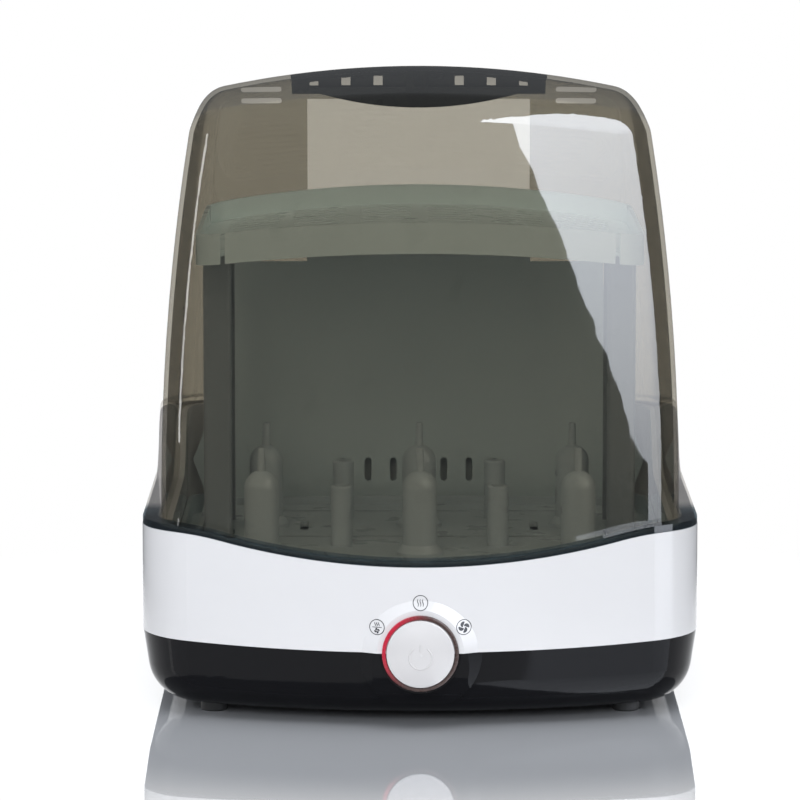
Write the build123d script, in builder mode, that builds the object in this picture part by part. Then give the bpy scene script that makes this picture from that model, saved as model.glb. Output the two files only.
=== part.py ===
from build123d import *
import os
from math import sqrt

# A countertop steam sterilizer and dryer for baby bottles.
# Millimetres. +X right, -Y front, +Y rear, +Z up. The origin is at the middle of the
# bounding box, on the surface that the feet stand on.

# ---------------------------------------------------------------- driving dimensions
half_width = 153.0  # base, seen from above
base_reach = 160.0  # base, from the origin to the middle of its front and of its rear
front_radius = 325.0  # bulge of the front
rear_radius = 900.0  # slight bulge of the rear
front_corner = 42.0
rear_corner = 40.0

foot_height = 5.0
split_z = 41.8  # seam between the two base casings, at the middle
split_rise = 2.7  # how much the seam climbs to the sides
rim_z = 88.4  # ledge under the hood, at the middle of the front
rim_radius = 520.0  # smile of the ledge
rim_turn_x = 110.0  # where the smile starts to level out
rim_level_x = 138.0  # where it is level
shoulder_start_y = 60.0  # the ledge climbs behind this
shoulder_end_y = 126.0
shoulder_z = 137.5
reach = 260.0  # half size of the cutting regions

band_wall = 3.0
shell_wall = 2.6
ledge_width = 16.0
ledge_thickness = 3.5
skirt_wall = 2.5
skirt_bottom = 66.0

hood_inset = 11.0  # hood wall, inwards from the base outline
hood_wall = 2.5
hood_top = 345.0
dome_side_radius = 555.0
dome_depth_radius = 1300.0
dome_edge = 18.0
flange_gap = 0.3
flange_thickness = 3.7

deck_z = 70.0
deck_thickness = 3.0
plate_y = -22.0  # middle of the round heating plate
plate_hole = 72.0

knob_z = 42.0
knob_front_y = -169.5
boss_front_y = -162.5
boss_back_y = -157.4  # where the boss's cone starts
boss_radius = 33.6
collar_radius = 22.0
ring_radius = 20.8  # light ring around the knob, outside
cap_radius = 18.4
cap_back_y = -164.7
hub_radius = 5.2  # stem behind the knob's face
bore_radius = 5.6  # hole that the hub sinks into when the knob is pressed
shaft_radius = 3.0
hinge_y = 161.5
hinge_z = 150.0
hinge_barrel = 8.0
hinge_x = 62.0
pin_radius = 2.5
screw_z = 112.0  # screws of the hinge brackets
running_gap = 0.05

tray_top = 270.7
tray_arch = 740.0
tray_height = 17.0

window_half = 66.0  # window in the rear wall of the hood
window_low = 214.0
window_high = 319.0
strip_half = 75.0  # vent strip along the top of the rear wall
strip_low = 322.0
strip_y = 106.0
grip_half = 61.0  # finger grip that hangs from the strip
grip_low = 313.8
grip_high = 326.0


# ---------------------------------------------------------------- shared shapes
def outline(side, front, rear, r_front, r_rear, c_front, c_rear):
    """Face of a plan shape with bulged front and rear, straight sides and round corners."""
    front_mid = front + r_front
    rear_mid = rear - r_rear
    cf_x, cr_x = side - c_front, side - c_rear
    cf_y = front_mid - sqrt((r_front - c_front) ** 2 - cf_x**2)
    cr_y = rear_mid + sqrt((r_rear - c_rear) ** 2 - cr_x**2)
    f_share = r_front / (r_front - c_front)
    r_share = r_rear / (r_rear - c_rear)
    f_end = (cf_x * f_share, front_mid + (cf_y - front_mid) * f_share)
    r_end = (cr_x * r_share, rear_mid + (cr_y - rear_mid) * r_share)
    with BuildSketch(Plane.XY) as shape:
        with BuildLine():
            front_arc = TangentArc((0, front), f_end, tangent=(1, 0))
            TangentArc(f_end, (side, cf_y), tangent=front_arc % 1)
            Line((side, cf_y), (side, cr_y))
            corner = TangentArc((side, cr_y), r_end, tangent=(0, 1))
            TangentArc(r_end, (0, rear), tangent=corner % 1)
            mirror(about=Plane.YZ)
        make_face()
    return shape.sketch_local


def base_outline(inset):
    """The base's plan shape, moved inwards by inset."""
    return outline(
        half_width - inset,
        -base_reach + inset,
        base_reach - inset,
        front_radius - inset,
        rear_radius - inset,
        front_corner - inset,
        rear_corner - inset,
    )


def hood_outline(z, inset):
    """The hood's plan shape at height z, moved inwards by inset."""
    side = half_width - hood_inset + 0.6 - max(0, z - 115) ** 2 / 2600
    front = -base_reach + hood_inset + max(0, z - rim_z) ** 2 / 2054
    rear = base_reach - hood_inset - max(0, z - shoulder_z) ** 2 / 4800
    return outline(
        side - inset,
        front + inset,
        rear - inset,
        front_radius - hood_inset - inset,
        rear_radius - hood_inset - inset,
        30 - inset,
        27 - inset,
    )


def above_rim(lift):
    """All the space over the base's ledge, raised by lift."""
    turn_z = rim_z + rim_radius - sqrt(rim_radius**2 - rim_turn_x**2)
    half_slope = (turn_z - rim_z) / rim_turn_x
    level_z = turn_z + (rim_level_x - rim_turn_x) * half_slope
    with BuildPart() as region:
        with BuildSketch(Plane.XZ):
            with BuildLine():
                smile = TangentArc((0, rim_z + lift), (rim_turn_x, turn_z + lift), tangent=(1, 0))
                TangentArc(smile @ 1, (rim_level_x, level_z + lift), tangent=smile % 1)
                Line((rim_level_x, level_z + lift), (reach, level_z + lift))
                Line((reach, level_z + lift), (reach, 2 * reach))
                Line((reach, 2 * reach), (0, 2 * reach))
                mirror(about=Plane.YZ)
            make_face()
        extrude(amount=reach, both=True)
        mid_y = (shoulder_start_y + shoulder_end_y) / 2
        mid_z = (level_z + shoulder_z) / 2
        with BuildSketch(Plane.YZ):
            with BuildLine():
                Line((-reach, 0), (shoulder_start_y, 0))
                Line((shoulder_start_y, 0), (shoulder_start_y, level_z + lift))
                climb = TangentArc(
                    (shoulder_start_y, level_z + lift), (mid_y, mid_z + lift), tangent=(1, 0)
                )
                TangentArc(climb @ 1, (shoulder_end_y, shoulder_z + lift), tangent=climb % 1)
                Line((shoulder_end_y, shoulder_z + lift), (reach, shoulder_z + lift))
                Line((reach, shoulder_z + lift), (reach, 2 * reach))
                Line((reach, 2 * reach), (-reach, 2 * reach))
                Line((-reach, 2 * reach), (-reach, 0))
            make_face()
        extrude(amount=reach, both=True, mode=Mode.INTERSECT)
    return region.part


def above_split():
    """All the space over the seam between the two base casings."""
    climb = split_rise * (reach / half_width) ** 2
    with BuildPart() as region:
        with BuildSketch(Plane.XZ):
            with BuildLine():
                ThreePointArc((-reach, split_z + climb), (0, split_z), (reach, split_z + climb))
                Polyline(
                    (reach, split_z + climb),
                    (reach, reach),
                    (-reach, reach),
                    (-reach, split_z + climb),
                )
            make_face()
        extrude(amount=reach, both=True)
    return region.part


def hood_form(inset):
    """The hood's solid form, moved inwards by inset: curved walls under a shallow dome."""
    with BuildPart() as form:
        for z in (80, 115, 160, 205, 250, 300, 350):
            with BuildSketch(Plane.XY.offset(z)):
                add(hood_outline(z, inset))
        loft()
        with BuildSketch(Plane.XZ) as dome:
            side = half_width + 10
            drop = dome_side_radius - sqrt(dome_side_radius**2 - side**2)
            with BuildLine():
                ThreePointArc(
                    (-side, hood_top - inset - drop),
                    (0, hood_top - inset),
                    (side, hood_top - inset - drop),
                )
                Polyline(
                    (side, hood_top - inset - drop),
                    (side, 0),
                    (-side, 0),
                    (-side, hood_top - inset - drop),
                )
            make_face()
        dome_axis = Axis((0, 0, hood_top - dome_depth_radius), (1, 0, 0))
        wedge = 22.0
        dome_solid = revolve(dome.sketch, dome_axis, wedge, mode=Mode.PRIVATE)
        dome_solid = dome_solid.rotate(dome_axis, -wedge / 2)
        add(dome_solid, mode=Mode.INTERSECT)
        top = faces().sort_by(Axis.Z)[-1]
        fillet(top.edges(), radius=dome_edge - inset)
    return form.part


def under_arch(drop):
    """All the space under the tray's arched top, lowered by drop."""
    side = 160.0
    fall = tray_arch - sqrt(tray_arch**2 - side**2)
    top = tray_top - drop
    with BuildPart() as region:
        with BuildSketch(Plane.XZ):
            with BuildLine():
                ThreePointArc((-side, top - fall), (0, top), (side, top - fall))
                Polyline((side, top - fall), (side, 150), (-side, 150), (-side, top - fall))
            make_face()
        extrude(amount=reach, both=True)
    return region.part


def box_between(low, high):
    """A plain box from its lowest to its highest corner, for cutting and keeping."""
    size = [b - a for a, b in zip(low, high)]
    middle = [(a + b) / 2 for a, b in zip(low, high)]
    return Pos(*middle) * Box(*size, mode=Mode.PRIVATE)


rim_region = above_rim(0)
ledge_region = above_rim(-ledge_thickness)
flange_low = above_rim(flange_gap)
flange_high = above_rim(flange_gap + flange_thickness)
split_region = above_split()
hood_outer = hood_form(0)
hood_inner = hood_form(hood_wall)

foot_spots = [(x, y) for x in (-113.5, 113.5) for y in (-105, 112)]
post_spots = [(x, y) for x in (-92, 92) for y in (-88, 72)]
peg_spots = [(x, y) for x in (-88, 0, 88) for y in (-72, 28)]
slim_spots = [(x, y) for x in (-44, 44) for y in (-40, 56)]
hinge_spots = (-hinge_x, hinge_x)

# ---------------------------------------------------------------- base casings
front_plane = Plane((0, 0, knob_z), x_dir=(1, 0, 0), z_dir=(0, -1, 0))
boss_root = 150.0  # the boss starts this far forward, inside the wall
filter_low = (-108.0, 140.0, 48.0)
filter_high = (-52.0, 170.0, 64.0)
inlet_low = (74.0, 140.0, 49.0)
inlet_high = (98.0, 170.0, 63.0)

with BuildPart() as knob_boss:  # the shallow cone that carries the knob
    with BuildSketch(front_plane.offset(boss_root)):
        Circle(boss_radius)
    extrude(amount=-boss_back_y - boss_root)
    with BuildSketch(front_plane.offset(-boss_back_y)):
        Circle(boss_radius)
    extrude(amount=boss_back_y - boss_front_y, taper=63)

with BuildPart() as knob_collar:
    with BuildSketch(front_plane.offset(boss_root)):
        Circle(collar_radius)
    extrude(amount=-boss_front_y - boss_root)

with BuildPart() as spindle_hole:
    with BuildSketch(front_plane.offset(boss_root - 10)):
        Circle(bore_radius)
    extrude(amount=40)

shell_top = split_z + split_rise + 1


def shell_form(inset, bottom, radius):
    """The lower casing's tapered form with its round bottom edge."""
    with BuildPart() as form:
        with BuildSketch(Plane.XY.offset(shell_top)):
            add(base_outline(inset))
        extrude(amount=-(shell_top - bottom), taper=8.5)
        fillet(faces().sort_by(Axis.Z)[0].edges(), radius=radius)
    return form.part


with BuildPart() as lower_boss:  # the boss's lower half follows the round bottom edge
    add(knob_boss.part)
    add(shell_form(-3.2, foot_height + 2, 26), mode=Mode.INTERSECT)
    add(knob_collar.part)

with BuildPart() as board_stands:
    add(box_between((-37, -144.4, 6), (-31, -138, 40)))
    add(box_between((31, -144.4, 6), (37, -138, 40)))
    add(shell_form(1, foot_height + 1, 23), mode=Mode.INTERSECT)

with BuildPart() as lower_shell:
    add(shell_form(0, foot_height, 24))
    add(lower_boss.part)
    add(shell_form(shell_wall, foot_height + 3, 21), mode=Mode.SUBTRACT)
    add(board_stands.part)
    add(spindle_hole.part, mode=Mode.SUBTRACT)
    with BuildSketch(Plane.XY.offset(foot_height)):
        with Locations(*post_spots):
            Circle(5)
    extrude(amount=40)
    with BuildSketch(Plane.XY.offset(foot_height)):
        with Locations(*post_spots):
            Circle(1.8)
    extrude(amount=60, mode=Mode.SUBTRACT)
    with BuildSketch(Plane.XY.offset(foot_height)):
        with Locations(*post_spots):
            Circle(3.4)
    extrude(amount=7, mode=Mode.SUBTRACT)
    with BuildSketch(Plane.XY.offset(foot_height)):
        with Locations(*foot_spots):
            Circle(3)
    extrude(amount=6, mode=Mode.SUBTRACT)
    with BuildSketch(Plane.XY.offset(foot_height)):  # air intake under the blower
        with GridLocations(9, 0, 9, 1):
            SlotOverall(44, 4, rotation=90)
    extrude(amount=6, mode=Mode.SUBTRACT)
    add(split_region, mode=Mode.SUBTRACT)
lower_shell.part.label = "lower_shell"

with BuildPart() as band_cavity:  # the space between outer wall, ledge and inner skirt
    with BuildSketch(Plane.XY.offset(30)):
        add(base_outline(band_wall))
        add(base_outline(ledge_width - skirt_wall), mode=Mode.SUBTRACT)
    extrude(amount=150)
    add(ledge_region, mode=Mode.SUBTRACT)
    with BuildSketch(Plane.XY.offset(30)):
        add(base_outline(band_wall))
    extrude(amount=skirt_bottom - 30)

with BuildPart() as base_band:
    with BuildSketch(Plane.XY.offset(30)):
        add(base_outline(0))
    extrude(amount=150)
    with BuildSketch(Plane.XY.offset(30)):
        add(base_outline(ledge_width))
    extrude(amount=150, mode=Mode.SUBTRACT)
    add(knob_boss.part)
    add(band_cavity.part, mode=Mode.SUBTRACT)
    add(spindle_hole.part, mode=Mode.SUBTRACT)
    add(rim_region, mode=Mode.SUBTRACT)
    add(split_region, mode=Mode.INTERSECT)
    add(box_between(filter_low, filter_high), mode=Mode.SUBTRACT)
    add(box_between(inlet_low, inlet_high), mode=Mode.SUBTRACT)
    for x in hinge_spots:  # flat seats for the hinge brackets
        add(box_between((x - 16, 156, 102), (x + 16, 175, 175)), mode=Mode.SUBTRACT)
        with BuildSketch(Plane((x, 156, screw_z), x_dir=(1, 0, 0), z_dir=(0, 1, 0))):
            with Locations((-10, 0), (10, 0)):
                Circle(1.5)
        extrude(amount=-12, mode=Mode.SUBTRACT)
base_band.part.label = "base_band"

with BuildPart() as deck:
    with BuildSketch(Plane.XY.offset(deck_z)):
        add(base_outline(ledge_width + 0.3))
    extrude(amount=14)
    with BuildSketch(Plane.XY.offset(deck_z + deck_thickness)):
        add(base_outline(ledge_width + 2.8))
    extrude(amount=20, mode=Mode.SUBTRACT)
    with BuildSketch(Plane.XY.offset(deck_z)):
        with Locations((0, plate_y)):
            Circle(plate_hole)
    extrude(amount=20, mode=Mode.SUBTRACT)
    with BuildSketch(Plane.XY.offset(deck_z)):  # air passage up into the duct
        with Locations((0, 130)):
            Rectangle(80, 12)
    extrude(amount=20, mode=Mode.SUBTRACT)
    with BuildSketch(Plane.XY.offset(foot_height + 41)):
        with Locations(*post_spots):
            Circle(5)
    extrude(amount=deck_z - foot_height - 41)
    with BuildSketch(Plane.XY.offset(foot_height + 41)):
        with Locations(*post_spots):
            Circle(1.7)
    extrude(amount=15, mode=Mode.SUBTRACT)
deck.part.label = "deck"

with BuildPart() as rubber_feet:
    with BuildSketch(Plane.XY):
        with Locations(*foot_spots):
            Circle(7.5)
    extrude(amount=foot_height)
    chamfer(faces().sort_by(Axis.Z)[:4].edges(), length=0.8)
    with BuildSketch(Plane.XY.offset(foot_height)):
        with Locations(*foot_spots):
            Circle(3)
    extrude(amount=3.5)
rubber_feet.part.label = "rubber_feet"

with BuildPart() as base_screws:
    with BuildSketch(Plane.XY.offset(foot_height + 4)):
        with Locations(*post_spots):
            Circle(3.2)
    extrude(amount=3)
    with BuildSketch(Plane.XY.offset(foot_height + 7)):
        with Locations(*post_spots):
            Circle(1.7)
    extrude(amount=44)
    with BuildSketch(Plane.XY.offset(foot_height + 4)):
        with Locations(*post_spots):
            Rectangle(4, 1)
            Rectangle(1, 4)
    extrude(amount=1.6, mode=Mode.SUBTRACT)
base_screws.part.label = "base_screws"

# ---------------------------------------------------------------- steam generator
plate_top = deck_z - 1.4
with BuildPart() as plate_seal:
    with BuildSketch(Plane.XY.offset(plate_top)):
        with Locations((0, plate_y)):
            Circle(79)
            Circle(plate_hole, mode=Mode.SUBTRACT)
    extrude(amount=deck_z - plate_top)
plate_seal.part.label = "plate_seal"

with BuildPart() as heating_plate:
    with BuildSketch(Plane.XZ.offset(-plate_y)):
        with BuildLine():
            Polyline(
                (0, plate_top - 4.6),
                (64, plate_top - 4.6),
                (69, plate_top),
                (80, plate_top),
                (80, plate_top - 1.2),
                (69.6, plate_top - 1.2),
                (64.6, plate_top - 5.8),
                (0, plate_top - 5.8),
                close=True,
            )
        make_face()
    revolve(axis=Axis((0, plate_y, 0), (0, 0, 1)))
heating_plate.part.label = "heating_plate"

with BuildPart() as heater_element:
    with BuildSketch(Plane.XY.offset(plate_top - 5.8)):
        with Locations((0, plate_y)):
            Circle(54)
            Circle(38, mode=Mode.SUBTRACT)
    extrude(amount=-7)
    fillet(faces().sort_by(Axis.Z)[0].edges(), radius=2.5)
    with BuildSketch(Plane.XY.offset(plate_top - 12)):
        with Locations((-8, plate_y - 42), (8, plate_y - 42)):
            Circle(2)
    extrude(amount=-8)
heater_element.part.label = "heater_element"

with BuildPart() as thermostat:
    with BuildSketch(Plane.XY.offset(plate_top - 5.8)):
        with Locations((0, plate_y)):
            Circle(9)
    extrude(amount=-6)
    with BuildSketch(Plane.XY.offset(plate_top - 11.8)):
        with Locations((-5, plate_y), (5, plate_y)):
            Rectangle(1, 5)
    extrude(amount=-7)
thermostat.part.label = "thermostat"

# ---------------------------------------------------------------- blower and filter
fan_y = 96.0
fan_radius = 31.0
with BuildPart() as fan_housing:
    with BuildSketch(Plane.XY.offset(34)):
        with Locations((0, 100)):
            RectangleRounded(96, 80, 12)
    extrude(amount=deck_z - 34)
    with BuildSketch(Plane.XY.offset(36)):
        with Locations((0, 100)):
            RectangleRounded(92, 76, 10)
    extrude(amount=deck_z - 38, mode=Mode.SUBTRACT)
    with BuildSketch(Plane.XY.offset(30)):
        with Locations((0, fan_y)):
            Circle(22)
    extrude(amount=8, mode=Mode.SUBTRACT)
    with BuildSketch(Plane.XY.offset(deck_z - 4)):
        with Locations((0, 130)):
            Rectangle(80, 12)
    extrude(amount=8, mode=Mode.SUBTRACT)
fan_housing.part.label = "fan_housing"

with BuildPart() as fan_motor:
    with BuildSketch(Plane.XY.offset(deck_z - 2)):
        with Locations((0, fan_y)):
            Circle(15)
    extrude(amount=-6)
    fillet(faces().sort_by(Axis.Z)[0].edges(), radius=1.5)
    with BuildSketch(Plane.XY.offset(deck_z - 8)):
        with Locations((0, fan_y)):
            Circle(2)
    extrude(amount=-16)
fan_motor.part.label = "fan_motor"

blade_count = 24
with BuildPart() as fan_wheel:
    with BuildSketch(Plane.XY.offset(59)):
        with Locations((0, fan_y)):
            Circle(fan_radius)
    extrude(amount=1.5)
    with BuildSketch(Plane.XY.offset(48)):
        with Locations((0, fan_y)):
            Circle(7)
    extrude(amount=11)
    with BuildSketch(Plane.XY.offset(41)):
        with Locations((0, fan_y)):
            Circle(fan_radius)
            Circle(fan_radius - 7, mode=Mode.SUBTRACT)
    extrude(amount=1.5)
    with BuildSketch(Plane.XY.offset(42.5)):
        with Locations((0, fan_y)):
            with PolarLocations(fan_radius - 3.6, blade_count):
                Rectangle(6.4, 1, rotation=38)
    extrude(amount=16.5)
    with BuildSketch(Plane.XY.offset(45)):
        with Locations((0, fan_y)):
            Circle(2 + running_gap)
    extrude(amount=20, mode=Mode.SUBTRACT)
fan_wheel.part.label = "fan_wheel"

drawer_gap = 0.4
with BuildPart() as band_wall_form:  # the rear wall alone, from which the cover is cut
    with BuildSketch(Plane.XY.offset(40)):
        add(base_outline(0))
    extrude(amount=40)
    with BuildSketch(Plane.XY.offset(40)):
        add(base_outline(band_wall))
    extrude(amount=40, mode=Mode.SUBTRACT)

frame_low = (-104.0, 96.0, 50.5)
frame_high = (-56.0, 152.0, 61.5)
with BuildPart() as filter_cover:
    add(band_wall_form.part)
    add(
        box_between(
            (filter_low[0] + drawer_gap, filter_low[1], filter_low[2] + drawer_gap),
            (filter_high[0] - drawer_gap, filter_high[1], filter_high[2] - drawer_gap),
        ),
        mode=Mode.INTERSECT,
    )
    add(box_between(frame_low, (frame_high[0], 154, frame_high[2])))
    add(
        box_between(
            (frame_low[0] + 2, frame_low[1] + 2, frame_low[2] - 1),
            (frame_high[0] - 2, frame_high[1] - 3, frame_high[2] + 1),
        ),
        mode=Mode.SUBTRACT,
    )
    with BuildSketch(Plane((-80, 200, 56), x_dir=(1, 0, 0), z_dir=(0, 1, 0))):
        with GridLocations(5.5, 0, 8, 1):
            SlotOverall(8, 2.4, rotation=90)
    extrude(amount=-53, mode=Mode.SUBTRACT)
filter_cover.part.label = "filter_cover"

with BuildPart() as air_filter:
    add(
        box_between(
            (frame_low[0] + 2, frame_low[1] + 2, frame_low[2] + 0.5),
            (frame_high[0] - 2, 146.5, frame_high[2] - 0.5),
        )
    )
    with BuildSketch(Plane((-80, 122, frame_high[2] - 0.5))):  # pleats
        with GridLocations(0, 6, 1, 7):
            Rectangle(40, 3)
    extrude(amount=-2, mode=Mode.SUBTRACT)
air_filter.part.label = "air_filter"

# ---------------------------------------------------------------- electrics
board_y = -146.0
with BuildPart() as control_board:
    with BuildSketch(Plane.XZ.offset(-(board_y + 1.6))):
        with Locations((0, 42)):
            RectangleRounded(86, 40, 2)
    extrude(amount=1.6)
    with BuildSketch(Plane.XZ.offset(-(board_y + 1.6))):  # parts on its inner side
        with Locations((-20, 50), (16, 34)):
            Rectangle(12, 12)
        with Locations((22, 52)):
            Rectangle(18, 8)
    extrude(amount=-3)
control_board.part.label = "control_board"

led_radius = 19.7
with BuildPart() as indicator_leds:
    with BuildSketch(Plane.XZ.offset(-board_y)):
        with Locations((0, knob_z)):
            with PolarLocations(led_radius, 3, start_angle=30, angular_range=180, rotate=False):
                Rectangle(3, 2.4)
    extrude(amount=2)
indicator_leds.part.label = "indicator_leds"

with BuildPart() as selector_switch:
    with BuildSketch(Plane.XZ.offset(-board_y)):
        with Locations((0, knob_z)):
            RectangleRounded(14, 14, 1)
    extrude(amount=6)
    with BuildSketch(Plane.XZ.offset(-board_y)):
        with Locations((0, knob_z)):
            Circle(shaft_radius + running_gap)
    extrude(amount=20, mode=Mode.SUBTRACT)
selector_switch.part.label = "selector_switch"

with BuildPart() as selector_shaft:
    with BuildSketch(Plane.XZ.offset(-board_y + 0.5)):
        with Locations((0, knob_z)):
            Circle(shaft_radius)
    extrude(amount=20)
    with BuildSketch(Plane.XZ.offset(-board_y + 8)):  # flat that turns the shaft with the cap
        with Locations((0, knob_z - 2.8)):
            Rectangle(8, 1.6)
    extrude(amount=20, mode=Mode.SUBTRACT)
selector_shaft.part.label = "selector_shaft"

cap_rise = 3.4  # how far its face bulges
cap_face_radius = (cap_radius**2 + cap_rise**2) / (2 * cap_rise)
with BuildPart() as knob_cap:
    with BuildSketch(Plane.YZ):
        with BuildLine():
            shoulder_y = knob_front_y + cap_rise
            half_way = (
                knob_front_y + cap_face_radius - sqrt(cap_face_radius**2 - (cap_radius / 2) ** 2),
                knob_z + cap_radius / 2,
            )
            Line((cap_back_y, knob_z), (cap_back_y, knob_z + cap_radius))
            Line((cap_back_y, knob_z + cap_radius), (shoulder_y, knob_z + cap_radius))
            ThreePointArc((shoulder_y, knob_z + cap_radius), half_way, (knob_front_y, knob_z))
            Line((knob_front_y, knob_z), (cap_back_y, knob_z))
        make_face()
    revolve(axis=Axis((0, 0, knob_z), (0, 1, 0)))
    circles = edges().filter_by(GeomType.CIRCLE)
    circles = circles.filter_by(lambda e: abs(e.radius - cap_radius) < 0.01)
    fillet(circles.sort_by(Axis.Y)[0], radius=0.9)
    with BuildSketch(Plane.XZ.offset(-cap_back_y)):  # hollow behind the face, around the stem
        with Locations((0, knob_z)):
            Circle(cap_radius - 2.2)
            Circle(hub_radius, mode=Mode.SUBTRACT)
    extrude(amount=1.8, mode=Mode.SUBTRACT)
    with BuildSketch(Plane.XZ.offset(-cap_back_y)):
        with Locations((0, knob_z)):
            Circle(hub_radius)
    extrude(amount=-2.2)
    with BuildSketch(Plane.XZ.offset(-cap_back_y - 3)):
        with Locations((0, knob_z)):
            Circle(shaft_radius + running_gap)
        with Locations((0, knob_z - 2.85)):
            Rectangle(8, 1.6, mode=Mode.SUBTRACT)
    extrude(amount=6.6, mode=Mode.SUBTRACT)
knob_cap.part.label = "knob_cap"

with BuildPart() as light_ring:
    with BuildSketch(Plane.XZ.offset(-boss_front_y)):
        with Locations((0, knob_z)):
            Circle(ring_radius)
            Circle(cap_radius + 0.4, mode=Mode.SUBTRACT)
    extrude(amount=2.6)
    circles = edges().filter_by(GeomType.CIRCLE)
    circles = circles.filter_by(lambda e: abs(e.radius - ring_radius) < 0.01)
    fillet(circles.sort_by(Axis.Y)[0], radius=1)
light_ring.part.label = "light_ring"

with BuildPart() as power_board:
    with BuildSketch(Plane.XY.offset(12)):
        with Locations((68, 0)):
            RectangleRounded(70, 60, 2)
    extrude(amount=1.6)
    with BuildSketch(Plane.XY.offset(13.6)):
        with Locations((54, 10)):
            Rectangle(24, 26)
        with Locations((86, -14)):
            Rectangle(16, 20)
    extrude(amount=16)
    with BuildSketch(Plane.XY.offset(13.6)):
        with Locations((84, 14), (54, -18)):
            Circle(6)
    extrude(amount=18)
    with BuildSketch(Plane.XY.offset(foot_height + 3)):  # its four standing legs
        with Locations(*[(68 + dx, dy) for dx in (-30, 30) for dy in (-25, 25)]):
            Circle(2.5)
    extrude(amount=12 - foot_height - 3)
power_board.part.label = "power_board"

with BuildPart() as power_inlet:
    add(box_between((74, 134, 49), (98, 156.4, 63)))
    fillet(edges().filter_by(Axis.Y), radius=2)
    with BuildSketch(Plane((86, 156.4, 56), x_dir=(1, 0, 0), z_dir=(0, 1, 0))):
        SlotOverall(15, 8.4)
    extrude(amount=-13, mode=Mode.SUBTRACT)
    with BuildSketch(Plane((86, 143.4, 56), x_dir=(1, 0, 0), z_dir=(0, 1, 0))):
        with Locations((-3.6, 0), (3.6, 0)):
            Circle(1.2)
    extrude(amount=10)
power_inlet.part.label = "power_inlet"

# ---------------------------------------------------------------- back wall and duct
panel_y = 120.0
panel_top = 224.0
duct_low = deck_z + deck_thickness
with BuildPart() as back_duct:
    with BuildSketch(Plane.XZ.offset(-panel_y - 3)):
        with BuildLine():
            Polyline((0, duct_low), (126, duct_low), (126, 84), (134, 106))
            Spline(
                (134, 106), (120, 150), (111, 190), (109, panel_top), tangents=[(-0.45, 1), (0, 1)]
            )
            Polyline((109, panel_top), (66, panel_top), (66, 262), (0, 262))
            mirror(about=Plane.YZ)
        make_face()
    extrude(amount=3)
    with BuildSketch(Plane.XY.offset(duct_low)):
        with Locations((0, panel_y + 9.5)):
            Rectangle(124, 17)
    extrude(amount=262 - duct_low)
    with BuildSketch(Plane.XY.offset(duct_low - 1)):
        with Locations((0, panel_y + 9.5)):
            Rectangle(119, 12)
    extrude(amount=259 - duct_low, mode=Mode.SUBTRACT)
    with BuildSketch(Plane.XZ.offset(-panel_y)):  # warm air outlets, under the tray and over it
        with Locations(*[(x, z) for x in range(-45, 46, 15) for z in (100, 236)]):
            SlotOverall(14, 4, rotation=90)
    extrude(amount=-6, mode=Mode.SUBTRACT)
back_duct.part.label = "back_duct"

# ---------------------------------------------------------------- bottle rack
rack_top = 81.0
with BuildPart() as rack_base:
    with BuildSketch(Plane.XY.offset(rack_top - 3)):
        add(outline(126, -130, 112, 295, 870, 30, 22))
    extrude(amount=3)
    with BuildSketch(Plane.XY.offset(rack_top - 7.6)):
        add(outline(126, -130, 112, 295, 870, 30, 22))
        add(outline(123.5, -127.5, 109.5, 292.5, 867.5, 27.5, 19.5), mode=Mode.SUBTRACT)
    extrude(amount=12)
    with BuildSketch(Plane.XY.offset(rack_top - 4)):
        with Locations(*[(x, y) for x in (-66, -22, 22, 66) for y in (-96, -10, 82)]):
            SlotOverall(34, 5)
        with Locations(*[(x, y) for x in (-108, 108) for y in (-50, 0)]):
            SlotOverall(30, 5, rotation=90)
        with Locations(*[(x, y) for x in (-66, 66) for y in (28,)]):
            SlotOverall(30, 5, rotation=90)
    extrude(amount=5, mode=Mode.SUBTRACT)
rack_base.part.label = "rack_base"

with BuildPart() as bottle_pegs:
    with BuildSketch(Plane.XZ):
        with BuildLine():
            Line((0, rack_top), (13, rack_top))
            Line((13, rack_top), (13, rack_top + 2))
            Line((13, rack_top + 2), (9.6, rack_top + 6))
            Line((9.6, rack_top + 6), (9.6, rack_top + 38))
            ThreePointArc((9.6, rack_top + 38), (7.6, rack_top + 43.5), (2.4, rack_top + 47))
            Line((2.4, rack_top + 47), (1.9, rack_top + 60))
            Line((1.9, rack_top + 60), (0, rack_top + 60))
            Line((0, rack_top + 60), (0, rack_top))
        make_face()
    peg = revolve(axis=Axis.Z, mode=Mode.PRIVATE)
    for spot in peg_spots:
        add(Pos(*spot, 0) * peg)
bottle_pegs.part.label = "bottle_pegs"

with BuildPart() as slim_posts:
    with BuildSketch(Plane.XY.offset(rack_top)):
        with Locations(*slim_spots):
            Circle(6.1)
    extrude(amount=34)
    fillet(faces().sort_by(Axis.Z)[-4:].edges(), radius=1.2)
    with BuildSketch(Plane.XY.offset(rack_top + 12)):
        with Locations(*slim_spots):
            Circle(3.6)
    extrude(amount=30, mode=Mode.SUBTRACT)
slim_posts.part.label = "slim_posts"

column_top = 243.2
with BuildPart() as side_columns:
    for side in (-1, 1):
        with BuildSketch(Plane.XY.offset(rack_top)):
            with Locations((side * 114.5, 22)):
                RectangleRounded(16, 62, 3)
            with Locations((side * 111.5, 22)):
                Rectangle(16, 54, mode=Mode.SUBTRACT)
        extrude(amount=column_top - rack_top)
side_columns.part.label = "side_columns"

# ---------------------------------------------------------------- upper tray
with BuildPart() as tray_pocket:
    with BuildSketch(Plane.XY.offset(180)):
        add(outline(121.5, -111.5, 109, 287.5, 870, 25.5, 17.5))
    extrude(amount=120)
    add(under_arch(tray_height - 6), mode=Mode.SUBTRACT)

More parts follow.
